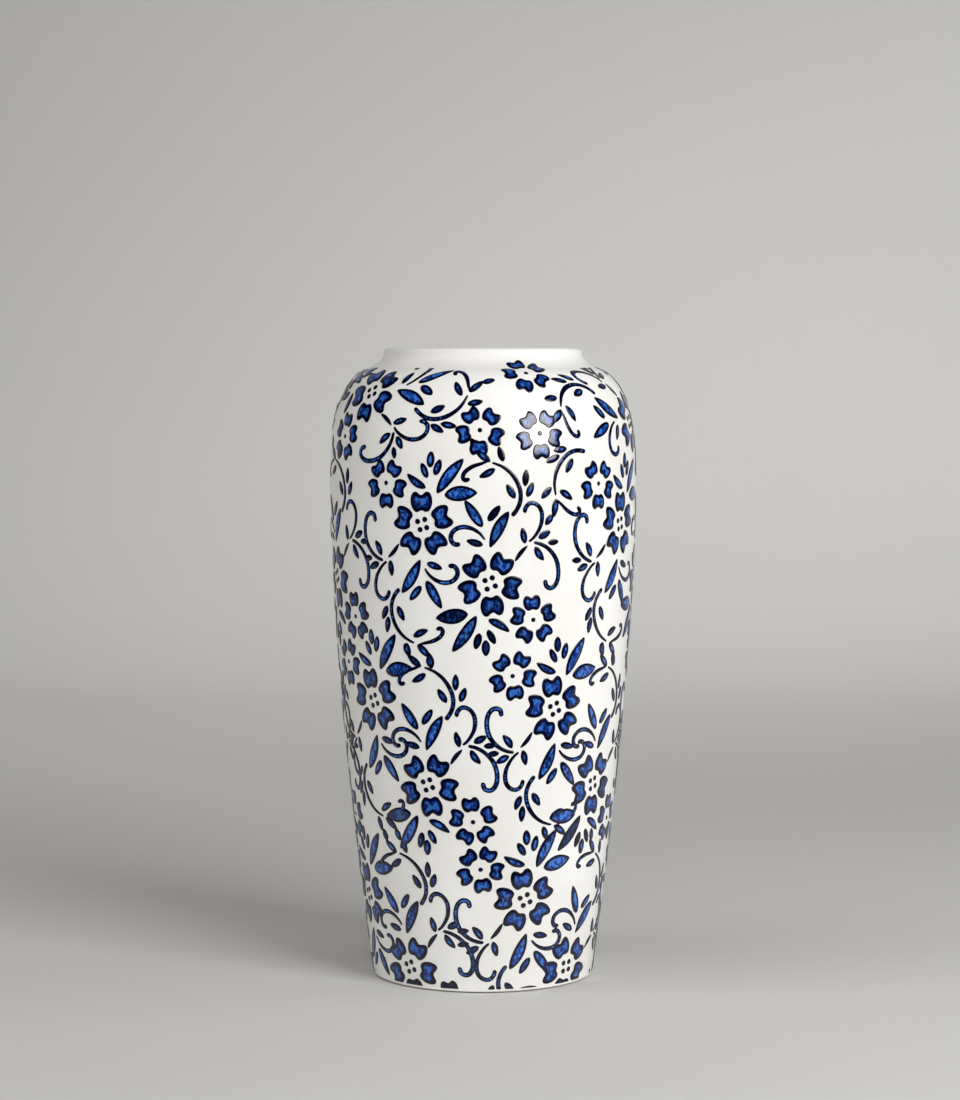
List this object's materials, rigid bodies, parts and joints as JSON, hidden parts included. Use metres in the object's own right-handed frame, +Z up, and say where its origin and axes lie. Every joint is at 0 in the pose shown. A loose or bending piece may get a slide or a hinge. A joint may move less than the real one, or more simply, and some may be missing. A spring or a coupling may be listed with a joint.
{
  "type": "decorated ceramic vase",
  "caption": "Tall tapered ceramic vase with a round shoulder, a low rolled collar and a raised cobalt floral pattern under a glossy white glaze.",
  "frame": {"origin": "centre of the foot ring's underside, on the surface that the vase stands on", "axes": "+Z up along the axis the vase is turned about; -Y is the side with the large flowers facing the viewer; +X is that viewer's right"},
  "size_m": [0.1458, 0.1458, 0.3],
  "materials": {
    "clay": "unglazed, sanded smooth",
    "white_glaze": "glossy",
    "cobalt_glaze": "glossy, slightly raised"
  },
  "bodies": {
    "root": {"clay_body": "clay", "outer_glaze": "white_glaze", "inner_glaze": "white_glaze", "foot_glaze": "white_glaze"}
  },
  "joints": []
}
